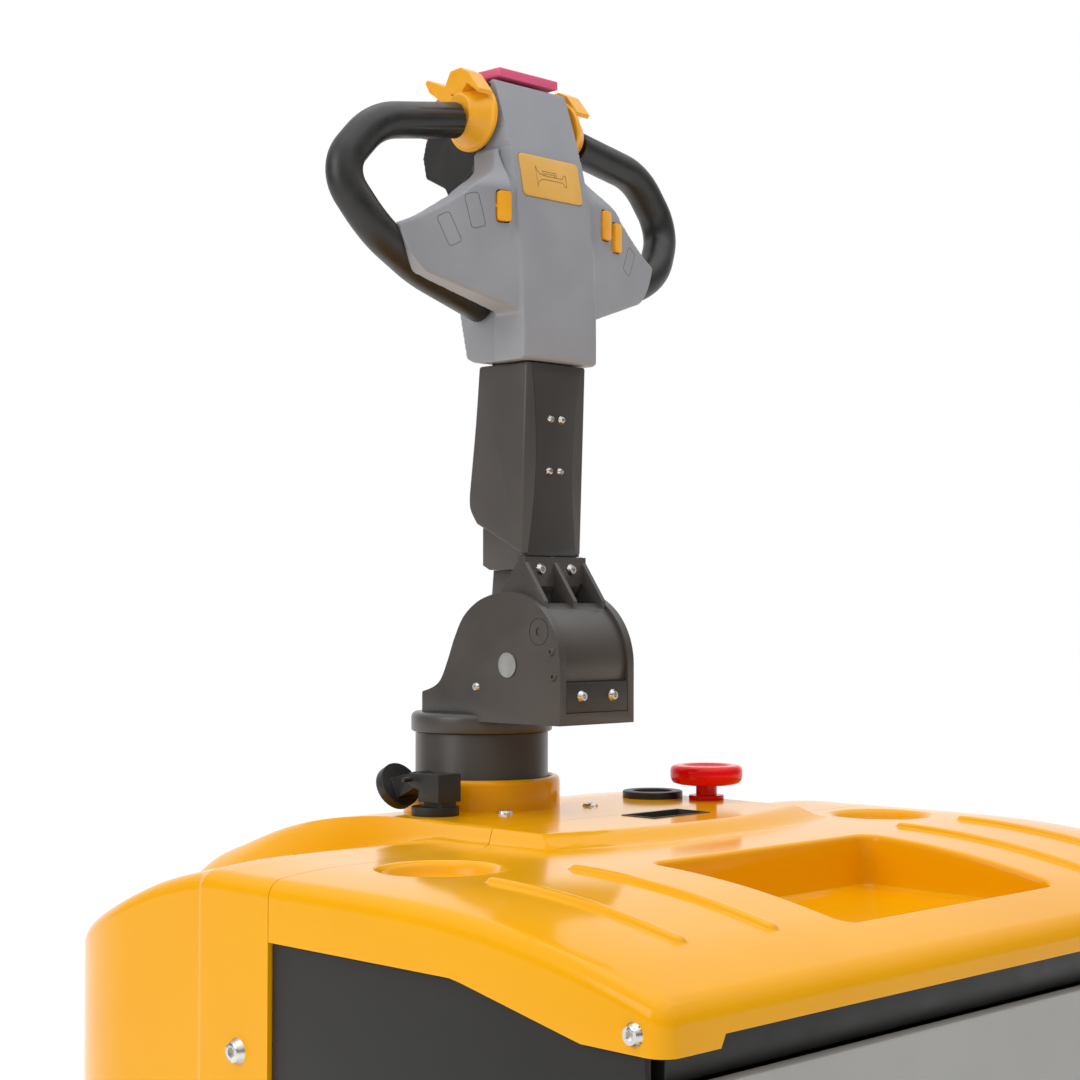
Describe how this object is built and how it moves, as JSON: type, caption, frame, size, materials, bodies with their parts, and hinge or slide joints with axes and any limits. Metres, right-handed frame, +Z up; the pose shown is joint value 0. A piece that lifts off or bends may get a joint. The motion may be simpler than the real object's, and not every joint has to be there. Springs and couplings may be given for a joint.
{
  "type": "electric pallet truck",
  "caption": "Walk-behind electric pallet truck: steering tiller with looped handles over a covered drive and battery body, with low lifting forks.",
  "frame": {"origin": "on the floor, under the middle of the truck's length and width", "axes": "+X towards the fork tips, +Y to the side of the gauge and the stop button, +Z up"},
  "size_m": [1.924, 0.706, 1.336],
  "materials": {
    "cover_yellow": "glossy",
    "panel_dark": "satin",
    "plate_grey": "satin",
    "chassis_dark": "satin",
    "column_dark": "satin",
    "head_grey": "fine texture",
    "grip_rubber": "semi-matt",
    "control_yellow": "semi-gloss",
    "belly_pink": "semi-gloss",
    "horn_amber": "semi-matt",
    "black_plastic": "semi-matt",
    "clear_glass": "polished",
    "stop_red": "glossy",
    "screw_steel": "bright",
    "pin_steel": "ground",
    "drive_rubber": "matt",
    "wheel_poly": "matt",
    "hub_iron": "cast",
    "battery_case": "matt",
    "finned_alloy": "cast",
    "pump_paint": "satin",
    "ram_chrome": "polished",
    "slide_nylon": "matt"
  },
  "bodies": {
    "chassis": {"chassis_frame": "chassis_dark", "slewing_ring": "pin_steel", "rear_bumper": "chassis_dark", "rear_cover": "cover_yellow", "battery_cover": "cover_yellow", "side_panel_left": "panel_dark", "side_panel_right": "panel_dark", "front_plate": "plate_grey", "lip_seal": "black_plastic", "gauge_bezel": "black_plastic", "display_frame": "black_plastic", "instrument_glass": "clear_glass", "stop_base": "stop_red", "charge_socket": "black_plastic", "cover_screws": "screw_steel", "battery": "battery_case", "motor_controller": "finned_alloy", "pump_unit": "pump_paint", "lift_cylinder": "pump_paint"},
    "column": {"drive_housing": "hub_iron", "drive_motor": "pump_paint", "column_tube": "column_dark", "column_flange": "column_dark", "tiller_bracket": "column_dark", "window_plate": "column_dark", "pivot_pin": "pin_steel", "bracket_screws": "screw_steel"},
    "drive_wheel": {"drive_tyre": "drive_rubber", "drive_hub": "hub_iron"},
    "tiller": {"tiller_root": "column_dark", "arm_tube": "column_dark", "arm_insert": "column_dark", "arm_cover": "column_dark", "arm_screws": "screw_steel", "head_front": "head_grey", "head_rear": "head_grey", "grip_left": "grip_rubber", "grip_right": "grip_rubber"},
    "throttle": {"throttle_shaft": "pin_steel", "throttle_left": "control_yellow", "throttle_right": "control_yellow"},
    "belly_switch": {"belly_button": "belly_pink"},
    "horn": {"horn_button": "horn_amber"},
    "rocker_a": {"rocker_left": "control_yellow"},
    "rocker_b": {"rocker_right_inner": "control_yellow"},
    "rocker_c": {"rocker_right_outer": "control_yellow"},
    "stop_switch": {"stop_button": "stop_red"},
    "socket_cap": {"hinged_cap": "black_plastic"},
    "caster_left": {"caster_yoke_left": "chassis_dark"},
    "caster_right": {"caster_yoke_right": "chassis_dark"},
    "caster_roll_left": {"caster_wheel_left": "wheel_poly"},
    "caster_roll_right": {"caster_wheel_right": "wheel_poly"},
    "forks": {"fork_frame": "chassis_dark", "guide_pads": "slide_nylon", "lift_ram": "ram_chrome"},
    "arm_left": {"load_arm_left": "chassis_dark"},
    "arm_right": {"load_arm_right": "chassis_dark"},
    "roller_left": {"load_roller_left": "wheel_poly"},
    "roller_right": {"load_roller_right": "wheel_poly"},
    "rods": {"push_rods": "pin_steel"}
  },
  "joints": [
    {"name": "steer_turn", "type": "hinge", "parent": "chassis", "child": "column", "pos_m": [-0.708, 0, 0.8], "axis": [0, 0, 1], "range_deg": [-90, 90]},
    {"name": "drive_wheel_spin", "type": "hinge", "parent": "column", "child": "drive_wheel", "pos_m": [-0.708, 0, 0.115], "axis": [0, 1, 0], "continuous": true},
    {"name": "tiller_tilt", "type": "hinge", "parent": "column", "child": "tiller", "pos_m": [-0.6323, 0, 0.849], "axis": [0, -1, 0], "range_deg": [0, 75], "stiffness_Nm_per_rad": 22, "springref_deg": -34.38},
    {"name": "throttle_twist", "type": "hinge", "parent": "tiller", "child": "throttle", "pos_m": [-0.668, 0, 1.294], "axis": [0, 1, 0], "range_deg": [-35, 35], "stiffness_Nm_per_rad": 0.6},
    {"name": "belly_press", "type": "slide", "parent": "tiller", "child": "belly_switch", "axis": [0, 0, -1], "range_m": [0, 0.003], "stiffness_N_per_m": 1200, "springref_m": -0.004},
    {"name": "horn_press", "type": "slide", "parent": "tiller", "child": "horn", "axis": [-0.9811, 0, -0.1933], "range_m": [0, 0.002], "stiffness_N_per_m": 1000, "springref_m": -0.001},
    {"name": "rocker_left_tip", "type": "hinge", "parent": "tiller", "child": "rocker_a", "pos_m": [-0.62431, -0.05649, 1.2135], "axis": [0.256, 0.9667, 0], "range_deg": [-8, 8], "stiffness_Nm_per_rad": 0.4},
    {"name": "rocker_inner_tip", "type": "hinge", "parent": "tiller", "child": "rocker_b", "pos_m": [-0.62563, 0.06149, 1.214], "axis": [-0.256, 0.9667, 0], "range_deg": [-8, 8], "stiffness_Nm_per_rad": 0.4},
    {"name": "rocker_outer_tip", "type": "hinge", "parent": "tiller", "child": "rocker_c", "pos_m": [-0.6304, 0.07949, 1.2065], "axis": [-0.256, 0.9667, 0], "range_deg": [-8, 8], "stiffness_Nm_per_rad": 0.4},
    {"name": "stop_press", "type": "slide", "parent": "chassis", "child": "stop_switch", "axis": [0, 0, -1], "range_m": [0, 0.006], "stiffness_N_per_m": 600, "springref_m": -0.003},
    {"name": "socket_cap_swing", "type": "hinge", "parent": "chassis", "child": "socket_cap", "pos_m": [-0.688, -0.084, 0.758], "axis": [0, 1, 0], "range_deg": [0, 60]},
    {"name": "caster_swivel_left", "type": "hinge", "parent": "chassis", "child": "caster_left", "pos_m": [-0.698, -0.256, 0.15], "axis": [0, 0, 1], "continuous": true},
    {"name": "caster_spin_left", "type": "hinge", "parent": "caster_left", "child": "caster_roll_left", "pos_m": [-0.723, -0.256, 0.05], "axis": [0, 1, 0], "continuous": true},
    {"name": "caster_swivel_right", "type": "hinge", "parent": "chassis", "child": "caster_right", "pos_m": [-0.698, 0.256, 0.15], "axis": [0, 0, 1], "continuous": true},
    {"name": "caster_spin_right", "type": "hinge", "parent": "caster_right", "child": "caster_roll_right", "pos_m": [-0.723, 0.256, 0.05], "axis": [0, 1, 0], "continuous": true},
    {"name": "fork_lift", "type": "slide", "parent": "chassis", "child": "forks", "axis": [0, 0, 1], "range_m": [0, 0.12]},
    {"name": "load_arm_swing_left", "type": "hinge", "parent": "forks", "child": "arm_left", "pos_m": [0.792, -0.19, 0.058], "axis": [0, -1, 0], "range_deg": [0, 31.2]},
    {"name": "load_roller_spin_left", "type": "hinge", "parent": "arm_left", "child": "roller_left", "pos_m": [0.55292, -0.19, 0.037], "axis": [0, 1, 0], "continuous": true},
    {"name": "load_arm_swing_right", "type": "hinge", "parent": "forks", "child": "arm_right", "pos_m": [0.792, 0.19, 0.058], "axis": [0, -1, 0], "range_deg": [0, 31.2]},
    {"name": "load_roller_spin_right", "type": "hinge", "parent": "arm_right", "child": "roller_right", "pos_m": [0.55292, 0.19, 0.037], "axis": [0, 1, 0], "continuous": true},
    {"name": "push_rod_slide", "type": "slide", "parent": "forks", "child": "rods", "axis": [1, 0, 0], "range_m": [0, 0.0108]}
  ],
  "couplings": [
    {"joint": "load_arm_swing_left", "follows": "fork_lift", "rad_per_m": 4.503},
    {"joint": "load_arm_swing_right", "follows": "fork_lift", "rad_per_m": 4.503},
    {"joint": "push_rod_slide", "follows": "fork_lift", "ratio": 0.088968}
  ]
}
